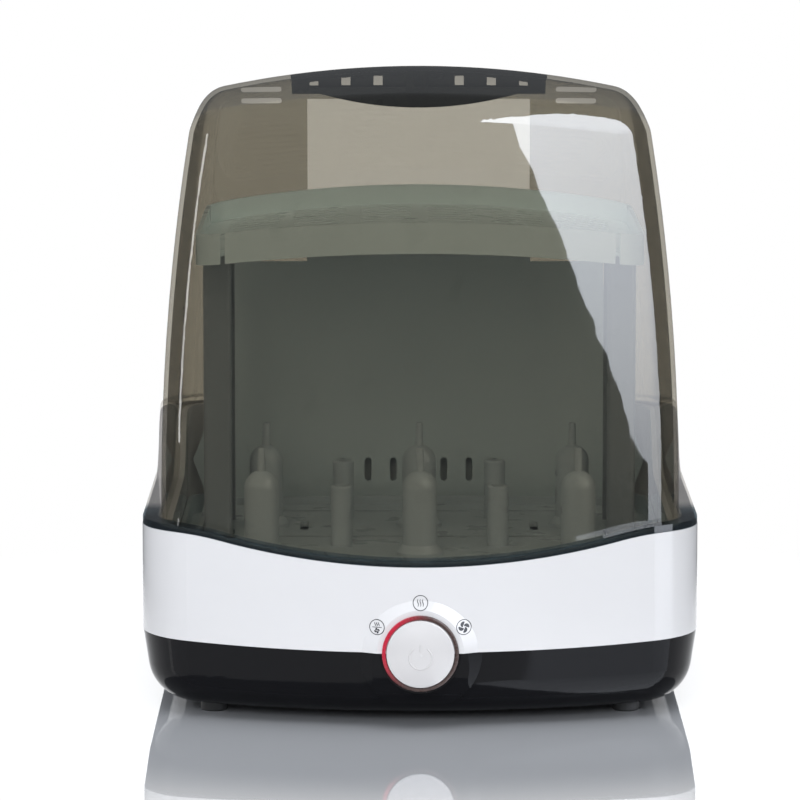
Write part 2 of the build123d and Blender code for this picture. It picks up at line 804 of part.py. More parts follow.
with BuildPart() as tray_recess:
    with BuildSketch(Plane.XY.offset(180)):
        add(outline(121.5, -111.5, 109, 287.5, 870, 25.5, 17.5))
    extrude(amount=120)
    add(under_arch(tray_height - 4), mode=Mode.INTERSECT)

with BuildPart() as tray:
    with BuildSketch(Plane.XY.offset(180)):
        add(outline(124, -114, 111.5, 290, 872.5, 28, 20))
    extrude(amount=120)
    add(under_arch(0), mode=Mode.INTERSECT)
    add(under_arch(tray_height), mode=Mode.SUBTRACT)
    add(tray_pocket.part, mode=Mode.SUBTRACT)
    add(tray_recess.part, mode=Mode.SUBTRACT)
    with BuildSketch(Plane.XY.offset(230)):
        with GridLocations(38, 13, 6, 15):
            SlotOverall(30, 5)
    extrude(amount=60, mode=Mode.SUBTRACT)
tray.part.label = "tray"

# ---------------------------------------------------------------- hood
seat_gap = 0.2
strip_box = box_between((-strip_half, strip_y, strip_low), (strip_half, 180, 360))
window_box = box_between((-window_half, 100, window_low), (window_half, 180, window_high))

with BuildPart() as flange:  # the rim that lies over the base's ledge
    with BuildSketch(Plane.XY.offset(80)):
        add(base_outline(seat_gap))
    extrude(amount=75)
    add(flange_low, mode=Mode.INTERSECT)
    add(flange_high, mode=Mode.SUBTRACT)
    for x in hinge_spots:
        add(box_between((x - 16.5, 151.2, 100), (x + 16.5, 180, 180)), mode=Mode.SUBTRACT)

lug_half = 9.0
with BuildPart() as hood:
    add(hood_outer)
    add(flange_low, mode=Mode.INTERSECT)
    add(flange.part)
    for x in hinge_spots:
        add(box_between((x - lug_half, 138, hinge_z - 6), (x + lug_half, hinge_y, hinge_z + 6)))
        with BuildSketch(Plane.YZ.offset(x - lug_half)):
            with Locations((hinge_y, hinge_z)):
                Circle(hinge_barrel)
        extrude(amount=2 * lug_half)
    add(hood_inner, mode=Mode.SUBTRACT)
    for x in hinge_spots:
        with BuildSketch(Plane.YZ.offset(x - lug_half)):
            with Locations((hinge_y, hinge_z)):
                Circle(pin_radius + running_gap)
        extrude(amount=2 * lug_half, mode=Mode.SUBTRACT)
    add(window_box, mode=Mode.SUBTRACT)
    add(strip_box, mode=Mode.SUBTRACT)
    with BuildSketch(Plane.XZ.offset(-strip_y)):  # vent slots beside the strip
        with Locations((-93, 325), (93, 325), (-93, 318), (93, 318)):
            SlotOverall(24, 3.4)
    extrude(amount=-60, mode=Mode.SUBTRACT)
hood.part.label = "hood"

with BuildPart() as rear_window:
    add(hood_outer)
    add(hood_inner, mode=Mode.SUBTRACT)
    add(window_box, mode=Mode.INTERSECT)
rear_window.part.label = "rear_window"

with BuildPart() as strip_fittings:  # finger grip, two snap hooks and two stops, all inside
    with BuildSketch(Plane.XZ.offset(-strip_y)):
        with BuildLine():
            ThreePointArc((-grip_half, grip_high - 3), (0, grip_low), (grip_half, grip_high - 3))
            Polyline(
                (grip_half, grip_high - 3),
                (grip_half, grip_high),
                (-grip_half, grip_high),
                (-grip_half, grip_high - 3),
            )
        make_face()
    extrude(amount=-60)
    add(hood_form(hood_wall + 2.2), mode=Mode.SUBTRACT)
    add(box_between((-7.4, 127, 320.5), (-2.7, 131, 345)))
    add(box_between((1.0, 127, 320.5), (5.7, 131, 345)))
    for side in (-1, 1):
        add(Pos(side * 68.2, 128, 335) * Box(7.6, 3, 20, mode=Mode.PRIVATE))
    add(hood_inner, mode=Mode.INTERSECT)

slot_rows = (-62, -43, -24, 24, 43, 62)
with BuildPart() as vent_strip:
    add(hood_outer)
    add(hood_inner, mode=Mode.SUBTRACT)
    add(strip_box, mode=Mode.INTERSECT)
    add(strip_fittings.part)
    with BuildSketch(Plane.XY.offset(300)):  # steam slots in the top
        with Locations(*[(x, 117) for x in slot_rows]):
            SlotOverall(12, 5, rotation=90)
    extrude(amount=80, mode=Mode.SUBTRACT)
    with BuildSketch(Plane.XZ.offset(-132)):  # and in the rounded rear edge
        with Locations(*[(x, 330) for x in slot_rows]):
            Rectangle(5.4, 6)
    extrude(amount=-40, mode=Mode.SUBTRACT)
vent_strip.part.label = "vent_strip"

# ---------------------------------------------------------------- hood hinge
ear = 5.0
with BuildPart() as hinge_brackets:
    for x in hinge_spots:
        add(box_between((x - 15.6, 156, 104), (x + 15.6, 160.6, shoulder_z)))
        for side in (-1, 1):
            ear_x = x + side * (lug_half + 0.4 + ear / 2)
            with BuildSketch(Plane.YZ.offset(ear_x - ear / 2)):
                with Locations((hinge_y, hinge_z)):
                    Circle(hinge_barrel)
                with Locations((hinge_y, (hinge_z + 120) / 2)):
                    Rectangle(2 * hinge_barrel, hinge_z - 120)
                with Locations((hinge_y - 4.6, (hinge_z + 110) / 2)):
                    Rectangle(6.8, 50, mode=Mode.SUBTRACT)
                with Locations((hinge_y, hinge_z)):
                    Circle(hinge_barrel)
                    Circle(pin_radius, mode=Mode.SUBTRACT)
            extrude(amount=ear)
        with BuildSketch(Plane((x, 156, screw_z), x_dir=(1, 0, 0), z_dir=(0, 1, 0))):
            with Locations((-10, 0), (10, 0)):
                Circle(1.6)
        extrude(amount=20, mode=Mode.SUBTRACT)
hinge_brackets.part.label = "hinge_brackets"

with BuildPart() as hinge_pins:
    for x in hinge_spots:
        with BuildSketch(Plane.YZ.offset(x - lug_half - 0.4 - ear)):
            with Locations((hinge_y, hinge_z)):
                Circle(pin_radius)
        extrude(amount=2 * (lug_half + 0.4 + ear))
hinge_pins.part.label = "hinge_pins"

with BuildPart() as bracket_screws:
    with BuildSketch(Plane((0, 160.6, screw_z), x_dir=(1, 0, 0), z_dir=(0, 1, 0))):
        with Locations(*[(x + dx, 0) for x in hinge_spots for dx in (-10, 10)]):
            Circle(3)
    extrude(amount=1.8)
    with BuildSketch(Plane((0, 160.6, screw_z), x_dir=(1, 0, 0), z_dir=(0, 1, 0))):
        with Locations(*[(x + dx, 0) for x in hinge_spots for dx in (-10, 10)]):
            Circle(1.5)
    extrude(amount=-8.6)
    with BuildSketch(Plane((0, 162.4, screw_z), x_dir=(1, 0, 0), z_dir=(0, 1, 0))):
        with Locations(*[(x + dx, 0) for x in hinge_spots for dx in (-10, 10)]):
            Rectangle(4, 0.8)
            Rectangle(0.8, 4)
    extrude(amount=-1, mode=Mode.SUBTRACT)
bracket_screws.part.label = "bracket_screws"

# ---------------------------------------------------------------- files
pieces = (
    lower_shell,
    base_band,
    deck,
    rubber_feet,
    base_screws,
    plate_seal,
    heating_plate,
    heater_element,
    thermostat,
    fan_housing,
    fan_motor,
    fan_wheel,
    filter_cover,
    air_filter,
    control_board,
    indicator_leds,
    selector_switch,
    selector_shaft,
    knob_cap,
    light_ring,
    power_board,
    power_inlet,
    back_duct,
    rack_base,
    bottle_pegs,
    slim_posts,
    side_columns,
    tray,
    hood,
    rear_window,
    vent_strip,
    hinge_brackets,
    hinge_pins,
    bracket_screws,
)
os.makedirs("parts", exist_ok=True)
for piece in pieces:
    export_step(piece.part, f"parts/{piece.part.label}.step")
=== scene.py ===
import math

import bmesh
import bpy
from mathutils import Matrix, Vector


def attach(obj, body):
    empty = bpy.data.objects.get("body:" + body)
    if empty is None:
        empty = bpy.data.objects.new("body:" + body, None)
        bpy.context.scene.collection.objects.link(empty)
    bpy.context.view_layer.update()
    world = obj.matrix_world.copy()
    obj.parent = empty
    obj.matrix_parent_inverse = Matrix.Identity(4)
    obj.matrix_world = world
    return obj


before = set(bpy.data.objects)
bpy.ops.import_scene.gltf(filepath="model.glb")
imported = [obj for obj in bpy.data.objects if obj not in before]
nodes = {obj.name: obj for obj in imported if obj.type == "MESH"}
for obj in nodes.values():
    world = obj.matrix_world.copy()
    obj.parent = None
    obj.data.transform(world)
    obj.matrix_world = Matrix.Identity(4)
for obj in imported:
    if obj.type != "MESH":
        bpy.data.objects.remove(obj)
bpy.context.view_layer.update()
MM = 0.001

# ------------------------------------------------------------------ driving dimensions, mm
HALF_WIDTH, REACH = 153.0, 160.0  # base, from the origin to its side and to its front and rear
FRONT_R, REAR_R = 325.0, 900.0  # bulge of the base's front and rear
HOOD_INSET = 11.0  # hood wall, inwards from the base's outline
HOOD_SIDE_SHIFT = 0.6  # and its sides, back outwards
HOOD_FRONT_CORNER, HOOD_REAR_CORNER = 30.0, 27.0
HOOD_FRONT_COSINE, HOOD_REAR_COSINE = 0.3965, 0.134  # of the angle between side and end, in plan

KNOB_Z, KNOB_FRONT = 42.0, -169.5
KNOB_FACE_R = 51.5  # crown of the knob's face
BOSS_BACK, BOSS_R, BOSS_SLOPE = -157.4, 33.6, 0.51  # cone around the knob
SIGN_R, SIGN_SIZE = 27.4, 3.95  # the signs' distance from the knob's axis, and their radius
SIGN_LINE = 0.40
INK, INK_DEPTH = 0.05, 0.02  # the print stands out, and reaches into the plastic
MARK_R, MARK_OPENING = 6.2, 34  # power mark: its radius, and half its gap in degrees
MARK_BAR_LOW, MARK_BAR = 3.4, 4.0  # foot and length of its bar
MARK_DROP = 1.5  # how far its middle lies under the knob's axis
MARK_HALF_WIDTH, MARK_HEIGHT = 0.42, 0.38  # of the raised bead

# ------------------------------------------------------------------ looks; lengths in metres
RIM_EDGE = (0.0012, 0.0022)  # past the hood's wall, where its rim's own tint sets in
RIM_FRONT = (-0.08, -0.045)  # Y, where the rim's front tint gives way to the paler one, which is painted light
SHOULDER_TINT_WITH_PAINTED_LIGHT = (0.82, 0.80, 0.78, 1)  # the rim at the sides and the rear, paler than in front: painted light, a lighter tint that stands in for the light seen on the rim there
WALL_SHINE = (0.10, 0.7)  # share of mirrored light, seen straight on and at a glancing angle
PLATE_Y = -0.022  # middle of the heating plate
RING_LIT_ANGLE = 158  # degrees from +X, where the light ring is brightest
RING_LIT_SPAN = (-0.006, 0.0206)  # along that direction, from dark to full light
RING_GLOW = 0.16

FLOOR_SHINE, FLOOR_FADE = 0.42, (0.27, 0.5)  # mirrored share; distances where it fades out
SURROUND_GLOW = 1.85
AMBIENT = 0.73
AMBIENT_MIRRORED = (0.10, 0.16)  # low and high in the sky
CAMERA_PLACE = (-0.01103, -2.815, 0.543)
CAMERA_DROP, CAMERA_LENS = 7.79, 224.7  # degrees below level; millimetres
LIGHT_TONE = (0.95, 1.0, 1.06, 1.0)
SOFTBOX_TONE = (0.92, 0.97, 1.06, 1)
SOFTBOX_REACH = 2.2  # from the point that the lights look at
LOOK_Z = 0.2  # height of that point


# ------------------------------------------------------------------ material helpers
class Nodes:
    """A short way to build a node tree."""

    def __init__(self, owner):
        owner.use_nodes = True
        self.tree = owner.node_tree
        self.tree.nodes.clear()

    def add(self, kind, inputs=(), **settings):
        node = self.tree.nodes.new(kind)
        for key, value in settings.items():
            setattr(node, key, value)
        for key, value in dict(inputs).items():
            if isinstance(value, bpy.types.NodeSocket):
                self.tree.links.new(value, node.inputs[key])
            else:
                node.inputs[key].default_value = value
        return node

    def math(self, operation, *values):
        node = self.add("ShaderNodeMath", operation=operation)
        for i, value in enumerate(values):
            if isinstance(value, bpy.types.NodeSocket):
                self.tree.links.new(value, node.inputs[i])
            else:
                node.inputs[i].default_value = value
        return node.outputs[0]

    def span(self, value, low, high, to_low, to_high, smooth=False):
        kind = "SMOOTHSTEP" if smooth else "LINEAR"
        inputs = {
            "Value": value,
            "From Min": low,
            "From Max": high,
            "To Min": to_low,
            "To Max": to_high,
        }
        return self.add("ShaderNodeMapRange", inputs, interpolation_type=kind).outputs["Result"]

    def mix(self, share, first, second):
        node = self.add("ShaderNodeMix", data_type="RGBA")
        for key, value in ((0, share), (6, first), (7, second)):
            if isinstance(value, bpy.types.NodeSocket):
                self.tree.links.new(value, node.inputs[key])
            else:
                node.inputs[key].default_value = value
        return node.outputs[2]

    def place(self):
        return self.add("ShaderNodeTexCoord").outputs["Object"]

    def noise(self, vector, scale, detail=3.0, roughness=0.55):
        inputs = {"Vector": vector, "Scale": scale, "Detail": detail, "Roughness": roughness}
        return self.add("ShaderNodeTexNoise", inputs).outputs["Fac"]


def shade(colour, factor):
    """The colour made lighter or darker by that factor."""
    return tuple(min(1.0, c * factor) for c in colour[:3]) + (1.0,)


def moulded(
    name, colour, gloss, grain=900.0, depth=0.02, waves=0.0, variation=0.04, shine=0.5, metal=0.0
):
    """Moulded plastic, rubber or metal: slight patches of tone, uneven gloss and a fine skin."""
    mat = bpy.data.materials.new(name)
    n = Nodes(mat)
    where = n.place()
    patches = n.noise(where, 14.0, 4.0)
    patchy = n.span(patches, 0.3, 0.7, 0.0, 1.0)
    tone = n.mix(patchy, shade(colour, 1 - variation), shade(colour, 1 + variation))
    fine = n.noise(where, grain, 2.0)
    rough = n.span(n.noise(where, 55.0, 5.0), 0.3, 0.7, gloss * 0.82, gloss * 1.22)
    bump = n.add("ShaderNodeBump", {"Height": fine, "Strength": depth, "Distance": 0.0004})
    if waves:
        swell = n.noise(where, 22.0, 1.0)
        bump = n.add(
            "ShaderNodeBump",
            {"Height": swell, "Strength": waves, "Distance": 0.002, "Normal": bump.outputs[0]},
        )
    shader = n.add(
        "ShaderNodeBsdfPrincipled",
        {
            "Base Color": tone,
            "Roughness": rough,
            "Normal": bump.outputs[0],
            "Metallic": metal,
            "Specular IOR Level": shine,
        },
    )
    n.add("ShaderNodeOutputMaterial", {"Surface": shader.outputs[0]})
    return mat


def outside_hood(n, where):
    """Metres from the hood's wall outwards, in plan: bulged ends, straight sides, round corners."""
    axes = n.add("ShaderNodeSeparateXYZ", {0: where})
    across = n.math("ABSOLUTE", axes.outputs[0])

    def times(a, b):
        return n.math("MULTIPLY", a, b)

    def bulge(centre, radius):
        depth = n.math("SUBTRACT", axes.outputs[1], centre * MM)
        squares = n.math("ADD", times(across, across), times(depth, depth))
        return n.math("SUBTRACT", n.math("SQRT", squares), radius * MM)

    front_r, rear_r = FRONT_R - HOOD_INSET, REAR_R - HOOD_INSET
    front = bulge(-REACH + HOOD_INSET + front_r, front_r)
    rear = bulge(REACH - HOOD_INSET - rear_r, rear_r)
    corner = n.span(axes.outputs[1], -MM, MM, HOOD_FRONT_CORNER * MM, HOOD_REAR_CORNER * MM)
    turn = n.span(axes.outputs[1], -MM, MM, HOOD_FRONT_COSINE, HOOD_REAR_COSINE)
    side = (HALF_WIDTH - HOOD_INSET + HOOD_SIDE_SHIFT) * MM
    u = n.math("ADD", n.math("SUBTRACT", across, side), corner)
    v = n.math("ADD", n.math("MAXIMUM", front, rear), corner)
    sine = n.math("SUBTRACT", 1.0, times(turn, turn))
    cross = times(times(2.0, times(u, v)), turn)
    norm = n.math("SUBTRACT", n.math("ADD", times(u, u), times(v, v)), cross)
    norm = n.math("SQRT", n.math("DIVIDE", norm, sine))
    share_u = n.math("SUBTRACT", u, times(v, turn))
    share_v = n.math("SUBTRACT", v, times(u, turn))
    round_part = n.math("GREATER_THAN", n.math("MINIMUM", share_u, share_v), 0.0)
    flat = n.math("MAXIMUM", u, v)
    reach = n.math("ADD", flat, times(round_part, n.math("SUBTRACT", norm, flat)))
    return n.math("SUBTRACT", reach, corner)


def tinted(name, through, gloss, rim=None):
    """Clear moulded plastic. The near face of a wall has its whole tint and its gloss.

    With rim, what lies outside the hood's wall has that tint in front and the paler shoulder tint
    further back; that paleness is painted light, standing in for the light seen on the rim there.
    """
    mat = bpy.data.materials.new(name)
    n = Nodes(mat)
    where = n.place()
    swell = n.noise(where, 9.0, 2.0)
    bump = n.add("ShaderNodeBump", {"Height": swell, "Strength": 0.05, "Distance": 0.003})
    tone = n.mix(n.noise(where, 5.0, 2.0), shade(through, 0.985), shade(through, 1.015))
    if rim:
        beyond = n.span(outside_hood(n, where), *RIM_EDGE, 0.0, 1.0)
        depth = n.add("ShaderNodeSeparateXYZ", {0: where}).outputs[1]
        # painted light: at the sides and the rear the rim takes the paler shoulder tint, which
        # brightens it where the ledge below lies in shade
        painted_light_share = n.span(depth, *RIM_FRONT, 0.0, 1.0, smooth=True)
        tone = n.mix(beyond, tone, n.mix(painted_light_share, rim, SHOULDER_TINT_WITH_PAINTED_LIGHT))
    clear = n.add("ShaderNodeBsdfTransparent", {"Color": tone})
    rough = n.span(n.noise(where, 40.0, 4.0), 0.35, 0.7, gloss, gloss * 2.2)
    mirror = n.add(
        "ShaderNodeBsdfGlossy",
        {"Color": (1, 1, 1, 1), "Roughness": rough, "Normal": bump.outputs[0]},
    )
    inside = n.add("ShaderNodeNewGeometry").outputs["Backfacing"]
    facing = n.add("ShaderNodeLayerWeight", {"Blend": 0.5, "Normal": bump.outputs[0]})
    slant = facing.outputs["Facing"]
    share = n.span(n.math("POWER", slant, 5.0), 0.0, 1.0, *WALL_SHINE)
    share = n.math("MULTIPLY", share, n.math("SUBTRACT", 1.0, inside))
    n.tree.links.new(n.mix(inside, tone, (1, 1, 1, 1)), clear.inputs["Color"])
    both = n.add("ShaderNodeMixShader", {0: share, 1: clear.outputs[0], 2: mirror.outputs[0]})
    n.add("ShaderNodeOutputMaterial", {"Surface": both.outputs[0]})
    return mat


# ------------------------------------------------------------------ materials
casing = {"depth": 0.01, "waves": 0.03}
white = moulded("white gloss plastic", (0.69, 0.67, 0.665, 1), 0.10, variation=0.01, **casing)
black = moulded(
    "black gloss plastic", (0.005, 0.005, 0.006, 1), 0.08, variation=0.1, shine=0.13, **casing
)
cap_white = moulded("knob white", (0.60, 0.575, 0.565, 1), 0.16, depth=0.01, variation=0.01)
satin = {"grain": 1400.0, "depth": 0.05, "variation": 0.03}
grey = moulded("liner grey", (0.66, 0.74, 0.77, 1), 0.32, **satin)
rack_grey = moulded("rack grey", (0.60, 0.66, 0.70, 1), 0.30, **satin)
column_grey = moulded("column grey", (0.34, 0.37, 0.40, 1), 0.30, **satin)
pale_green = moulded(
    "tray pale green", (0.83, 0.93, 0.95, 1), 0.30, grain=1200.0, depth=0.04, variation=0.02
)
dark = moulded("dark trim", (0.035, 0.035, 0.04, 1), 0.30, grain=1200.0, depth=0.08, variation=0.1)
rubber = moulded("foot rubber", (0.02, 0.02, 0.02, 1), 0.6, grain=700.0, depth=0.3, variation=0.2)
silicone = moulded("seal silicone", (0.7, 0.7, 0.69, 1), 0.5, grain=900.0, depth=0.1)
steel = moulded("zinc plated steel", (0.62, 0.63, 0.65, 1), 0.28, grain=600.0, depth=0.1, metal=1.0)
casting = moulded("cast aluminium", (0.62, 0.62, 0.63, 1), 0.45, grain=500.0, depth=0.3, metal=1.0)
board_green = moulded(
    "circuit board", (0.02, 0.14, 0.06, 1), 0.35, grain=300.0, depth=0.2, variation=0.25
)
print_ink = moulded("printed ink", (0.02, 0.02, 0.025, 1), 0.35, depth=0.02)
smoke = tinted("smoke hood", (0.43, 0.405, 0.345, 1), 0.018, rim=(0.105, 0.138, 0.16, 1))
clear = tinted("clear window", (0.97, 0.96, 0.93, 1), 0.02)


def brushed_plate():
    """Round-brushed stainless steel with a faint water stain."""
    mat = bpy.data.materials.new("heating plate steel")
    n = Nodes(mat)
    where = n.place()
    shifted = {0: where, 1: (0, -PLATE_Y, 0)}
    middle = n.add("ShaderNodeVectorMath", shifted, operation="ADD").outputs[0]
    rings = n.add(
        "ShaderNodeTexWave",
        {"Vector": middle, "Scale": 420.0, "Distortion": 1.5, "Detail": 3.0},
        wave_type="RINGS",
        rings_direction="Z",
    )
    stain = n.noise(where, 35.0, 6.0)
    tone = n.mix(n.span(stain, 0.45, 0.7, 0.0, 1.0), (0.58, 0.58, 0.59, 1), (0.5, 0.48, 0.45, 1))
    ridges = {"Height": rings.outputs["Fac"], "Strength": 0.08, "Distance": 0.0002}
    bump = n.add("ShaderNodeBump", ridges)
    shader = n.add(
        "ShaderNodeBsdfPrincipled",
        {
            "Base Color": tone,
            "Metallic": 1.0,
            "Roughness": n.span(rings.outputs["Fac"], 0, 1, 0.22, 0.36),
            "Normal": bump.outputs[0],
        },
    )
    n.add("ShaderNodeOutputMaterial", {"Surface": shader.outputs[0]})
    return mat


def filter_felt():
    """White fibrous felt."""
    mat = bpy.data.materials.new("filter felt")
    n = Nodes(mat)
    where = n.place()
    fibres = n.noise(where, 1600.0, 6.0, 0.7)
    tone = n.mix(fibres, (0.70, 0.71, 0.69, 1), (0.86, 0.87, 0.85, 1))
    bump = n.add("ShaderNodeBump", {"Height": fibres, "Strength": 0.5, "Distance": 0.0006})
    shader = n.add(
        "ShaderNodeBsdfPrincipled",
        {"Base Color": tone, "Roughness": 0.9, "Normal": bump.outputs[0], "Sheen Weight": 0.3},
    )
    n.add("ShaderNodeOutputMaterial", {"Surface": shader.outputs[0]})
    return mat


def glowing_ring():
    """Frosted ring, lit red from behind on its left side."""
    mat = bpy.data.materials.new("light ring")
    n = Nodes(mat)
    axes = n.add("ShaderNodeSeparateXYZ", {0: n.place()})
    right, up = axes.outputs[0], n.math("SUBTRACT", axes.outputs[2], KNOB_Z * MM)
    angle = math.radians(RING_LIT_ANGLE)
    along_x = n.math("MULTIPLY", right, math.cos(angle))
    along = n.math("ADD", along_x, n.math("MULTIPLY", up, math.sin(angle)))
    near = n.span(along, *RING_LIT_SPAN, 0.0, 1.0, smooth=True)
    hot = n.math("POWER", near, 2.2)
    colour = n.mix(hot, (0.06, 0.035, 0.03, 1), (0.34, 0.01, 0.03, 1))
    rough = n.span(n.noise(n.place(), 700.0), 0.3, 0.7, 0.22, 0.36)
    shader = n.add(
        "ShaderNodeBsdfPrincipled",
        {
            "Base Color": colour,
            "Roughness": rough,
            "Emission Color": (1.0, 0.012, 0.05, 1),
            "Emission Strength": n.math("MULTIPLY", hot, RING_GLOW),
        },
    )
    n.add("ShaderNodeOutputMaterial", {"Surface": shader.outputs[0]})
    return mat


plate_steel = brushed_plate()
felt = filter_felt()
ring_glow = glowing_ring()

NODE_MATERIALS = {
    "lower_shell": black,
    "base_band": white,
    "deck": grey,
    "rubber_feet": rubber,
    "base_screws": steel,
    "plate_seal": silicone,
    "heating_plate": plate_steel,
    "heater_element": casting,
    "thermostat": dark,
    "fan_housing": dark,
    "fan_motor": steel,
    "fan_wheel": dark,
    "filter_cover": white,
    "air_filter": felt,
    "control_board": board_green,
    "indicator_leds": ring_glow,
    "selector_switch": steel,
    "selector_shaft": dark,
    "knob_cap": cap_white,
    "light_ring": ring_glow,
    "power_board": board_green,
    "power_inlet": dark,
    "back_duct": grey,
    "rack_base": rack_grey,
    "bottle_pegs": rack_grey,
    "slim_posts": rack_grey,
    "side_columns": column_grey,
    "tray": pale_green,
    "hood": smoke,
    "rear_window": clear,
    "vent_strip": dark,
    "hinge_brackets": dark,
    "hinge_pins": steel,
    "bracket_screws": steel,
}
for name, mat in NODE_MATERIALS.items():
    data = nodes[name].data
    data.materials.clear()
    data.materials.append(mat)


# ------------------------------------------------------------------ modelled pieces
def mesh_piece(name, verts, faces, mat, body, smooth=True):
    """A piece from vertices in millimetres, riding on a body."""
    mesh = bpy.data.meshes.new(name)
    mesh.from_pydata([Vector(v) * MM for v in verts], [], faces)
    bm = bmesh.new()
    bm.from_mesh(mesh)
    bmesh.ops.recalc_face_normals(bm, faces=bm.faces)
    bm.to_mesh(mesh)
    bm.free()
    mesh.polygons.foreach_set("use_smooth", [smooth] * len(mesh.polygons))
    mesh.materials.append(mat)
    piece = bpy.data.objects.new(name, mesh)
    bpy.context.scene.collection.objects.link(piece)
    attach(piece, body)
    return piece


def boss_surface(x, z):
    """Y of the front: the cone around the knob, or the bulged wall where that is further out."""
    radius = math.hypot(x, z - KNOB_Z)
    cone = BOSS_BACK - (BOSS_R - radius) * BOSS_SLOPE
    wall = -REACH + FRONT_R - math.sqrt(FRONT_R**2 - x**2)
    return min(cone, wall)


def printed(outlines):
    """Vertices and faces of flat ink strips on the cone; each outline is a ribbon's two sides."""
    verts, faces = [], []
    for left, right in outlines:
        start, count = len(verts), len(left)
        for depth in (INK_DEPTH, -INK):
            for (x1, z1), (x2, z2) in zip(left, right):
                verts.append((x1, boss_surface(x1, z1) + depth, z1))
                verts.append((x2, boss_surface(x2, z2) + depth, z2))
        back, front = start, start + 2 * count
        closed = left[0] == left[-1] and right[0] == right[-1]
        for i in range(count - 1):
            a, b = 2 * i, 2 * i + 2
            faces.append((front + a, front + a + 1, front + b + 1, front + b))
            faces.append((back + a, back + b, back + b + 1, back + a + 1))
            faces.append((back + a, front + a, front + b, back + b))
            faces.append((back + a + 1, back + b + 1, front + b + 1, front + a + 1))
        if not closed:
            last = 2 * (count - 1)
            faces.append((back, back + 1, front + 1, front))
            faces.append((back + last, front + last, front + last + 1, back + last + 1))
    return verts, faces


def stroke(points, width):
    """The two sides of a line of that width; width may be a function of the way along it."""
    left, right = [], []
    last = len(points) - 1
    for i, (x, z) in enumerate(points):
        (x0, z0), (x1, z1) = points[max(i - 1, 0)], points[min(i + 1, last)]
        if points[0] == points[-1] and i in (0, last):
            (x0, z0), (x1, z1) = points[-2], points[1]
        length = math.hypot(x1 - x0, z1 - z0)
        across = (-(z1 - z0) / length, (x1 - x0) / length)
        half = (width(i / last) if callable(width) else width) / 2
        left.append((x + across[0] * half, z + across[1] * half))
        right.append((x - across[0] * half, z - across[1] * half))
    return left, right


def ring_points(cx, cz, radius, count=48):
    """A closed circle of points, clockwise from the top."""
    turns = [2 * math.pi * i / count for i in range(count)]
    points = [(cx + radius * math.sin(t), cz + radius * math.cos(t)) for t in turns]
    return points + points[:1]


def steam(cx, cz, height, gap):
    """Three wavy upright lines side by side, thickest in the middle."""
    lines = []
    for column in (-1, 0, 1):
        points = []
        for i in range(17):
            t = i / 16
            sway = 0.24 * math.sin(2 * math.pi * t)
            points.append((cx + column * gap + sway, cz + (t - 0.5) * height))
        lines.append(stroke(points, lambda t: 0.20 + 0.26 * math.sin(math.pi * min(1, max(0, t)))))
    return lines


def pinwheel(cx, cz, radius):
    """Four comma-shaped blades around an open middle."""
    blades = []
    for quarter in range(4):
        turn = quarter * math.pi / 2 + 0.35
        points = []
        for i in range(13):
            t = i / 12
            angle = turn + 1.35 * t
            reach = radius * (0.20 + 0.80 * t ** 0.8)
            points.append((cx + reach * math.sin(angle), cz + reach * math.cos(angle)))
        blades.append(
            stroke(points, lambda t: radius * (0.16 + 0.5 * math.sin(math.pi * t) ** 0.9))
        )
    return blades


def pictogram(name, angle, drawing):
    """A circled sign on the cone, that many degrees clockwise from the top."""
    a = math.radians(angle)
    cx, cz = SIGN_R * math.sin(a), KNOB_Z + SIGN_R * math.cos(a)
    ribbons = [stroke(ring_points(cx, cz, SIGN_SIZE), SIGN_LINE)] + drawing(cx, cz)
    verts, faces = printed(ribbons)
    return mesh_piece(name, verts, faces, print_ink, "base", smooth=False)


pictogram("sign_steam", 0, lambda x, z: steam(x, z, 3.9, 1.35))
pictogram("sign_fan", 59, lambda x, z: pinwheel(x, z, 2.75))
pictogram(
    "sign_steam_and_fan",
    -59,
    lambda x, z: steam(x, z + 1.55, 2.1, 1.0)
    + [stroke([(x - 2.6, z - 0.05), (x, z - 0.05), (x + 2.6, z - 0.05)], 0.32)]
    + pinwheel(x, z - 1.85, 1.35),
)


def power_arc():
    """The raised open ring and bar on the knob's face."""
    verts, faces = [], []
    around = 10

    def bead(points):
        start = len(verts)
        last = len(points) - 1
        for i, (x, z) in enumerate(points):
            (x0, z0), (x1, z1) = points[max(i - 1, 0)], points[min(i + 1, last)]
            length = math.hypot(x1 - x0, z1 - z0)
            nx, nz = -(z1 - z0) / length, (x1 - x0) / length
            size = MARK_HALF_WIDTH * math.sqrt(max(0.02, 1 - abs(2 * i / last - 1) ** 12))
            base = KNOB_FRONT + (x * x + z * z) / (2 * KNOB_FACE_R)
            for k in range(around):
                a = 2 * math.pi * k / around
                side, up = size * math.cos(a), MARK_HEIGHT * math.sin(a)
                verts.append((x + nx * side, base - up, KNOB_Z + z + nz * side))
        for i in range(last):
            for k in range(around):
                a = start + i * around + k
                b = start + i * around + (k + 1) % around
                faces.append((a, b, b + around, a + around))
        faces.append(tuple(start + k for k in range(around)))
        faces.append(tuple(start + last * around + around - 1 - k for k in range(around)))

    turns = [math.radians(MARK_OPENING + (360 - 2 * MARK_OPENING) * i / 48) for i in range(49)]
    bead([(MARK_R * math.sin(t), MARK_R * math.cos(t) - MARK_DROP) for t in turns])
    bead([(0, MARK_BAR_LOW + MARK_BAR * i / 12 - MARK_DROP) for i in range(13)])
    return mesh_piece("power_mark", verts, faces, cap_white, "selector_knob")


power_arc()


